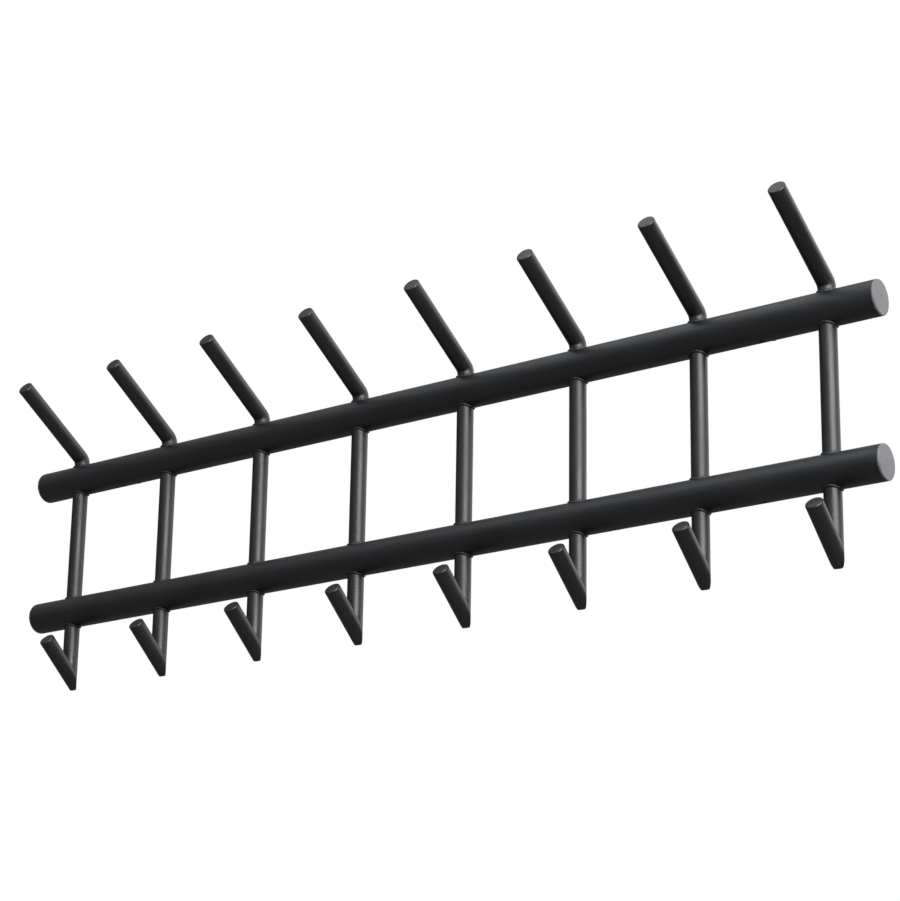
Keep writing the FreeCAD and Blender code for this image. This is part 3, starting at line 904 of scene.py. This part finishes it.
def make_floor(drop):
    """A plain pale floor, evenly bright to the eye."""
    work = bmesh.new()
    bmesh.ops.create_grid(work, x_segments=8, y_segments=8, size=FLOOR_HALF)
    bmesh.ops.translate(work, verts=work.verts, vec=(0, 0, -drop))
    mesh = bpy.data.meshes.new("Floor")
    work.to_mesh(mesh)
    work.free()
    material, tree, shader, coordinates = new_material(
        "Pale Floor", {"Roughness": 0.8, "Emission Color": (0.74, 0.74, 0.74, 1)},
    )
    seen = add_node(tree, "ShaderNodeLightPath").outputs["Is Camera Ray"]
    tree.links.new(seen, shader.inputs["Emission Strength"])
    grain = add_grain(tree, coordinates, grain=60.0, drift=1.5, peel=20.0)
    toned = mix_colour(tree, grain.outputs["Drift"], (0.22, 0.22, 0.22), (0.25, 0.25, 0.25))
    tree.links.new(toned, shader.inputs["Base Color"])
    mesh.materials.append(material)
    floor = bpy.data.objects.new("floor", mesh)
    bpy.context.scene.collection.objects.link(floor)


class COATRACK_OT_stage(Operator):
    """Set the camera, the lights, the world and the floor"""

    bl_idname = "coatrack.stage"
    bl_label = "Set Stage"

    def execute(self, context):
        stage = context.scene.coat_rack_stage
        turn, rise = stage.azimuth, stage.elevation
        ahead = Vector((-math.sin(turn), math.cos(turn), 0))
        sight = ahead * math.cos(rise) - Vector((0, 0, math.sin(rise)))
        level_right = Vector((math.cos(turn), math.sin(turn), 0))
        level_up = level_right.cross(sight)
        right = level_right * math.cos(stage.roll) + level_up * math.sin(stage.roll)
        up = right.cross(sight)
        rack_middle = Vector((0, RAIL_Y, (RAIL_Z["upper"] + RAIL_Z["lower"]) / 2))
        aim = rack_middle + right * stage.aim_right + up * stage.aim_up
        place = aim - sight * stage.distance
        camera = bpy.data.objects.new("camera", bpy.data.cameras.new("camera"))
        camera.data.lens = stage.lens
        camera.data.sensor_width = 36
        camera.data.shift_y = stage.shift
        camera.data.clip_end = 50
        camera.matrix_world = Matrix((right, up, -sight)).transposed().to_4x4()
        camera.location = place
        context.scene.collection.objects.link(camera)
        context.scene.camera = camera

        powers = {"key": stage.key_power, "top": stage.top_power, "back": stage.back_power}
        for name, (spot, side, colour) in LIGHTS.items():
            add_area_light(name, spot, rack_middle, side, powers[name], colour)
        front = place + right * FRONT_RIGHT + up * FRONT_UP
        add_area_light("front", front, rack_middle, FRONT_SIDE, stage.front_power, (1, 1, 1))
        make_world()
        make_floor(stage.floor_drop)
        context.scene.view_settings.view_transform = "Standard"
        return {"FINISHED"}


class COATRACK_PT_panel(Panel):
    """Lists the steps that build the rack"""

    bl_label = "Coat Rack"
    bl_space_type = "VIEW_3D"
    bl_region_type = "UI"
    bl_category = "Coat Rack"

    def draw(self, context):
        for operator in OPERATORS:
            self.layout.operator(operator.bl_idname)


OPERATORS = (
    COATRACK_OT_finishes, COATRACK_OT_bars, COATRACK_OT_legs,
    COATRACK_OT_welds, COATRACK_OT_caps, COATRACK_OT_stage,
)
CLASSES = (CoatRackSizes, CoatRackFinish, CoatRackStage, *OPERATORS, COATRACK_PT_panel)


def register():
    for item in CLASSES:
        bpy.utils.register_class(item)
    bpy.types.Scene.coat_rack_sizes = PointerProperty(type=CoatRackSizes)
    bpy.types.Scene.coat_rack_finish = PointerProperty(type=CoatRackFinish)
    bpy.types.Scene.coat_rack_stage = PointerProperty(type=CoatRackStage)


def unregister():
    for name in ("coat_rack_sizes", "coat_rack_finish", "coat_rack_stage"):
        delattr(bpy.types.Scene, name)
    for item in reversed(CLASSES):
        bpy.utils.unregister_class(item)


def main():
    """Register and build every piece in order."""
    register()
    bpy.ops.coatrack.finishes()
    bpy.ops.coatrack.bars()
    bpy.ops.coatrack.legs()
    bpy.ops.coatrack.welds()
    bpy.ops.coatrack.caps()
    bpy.ops.coatrack.stage()


if __name__ == "__main__":
    main()
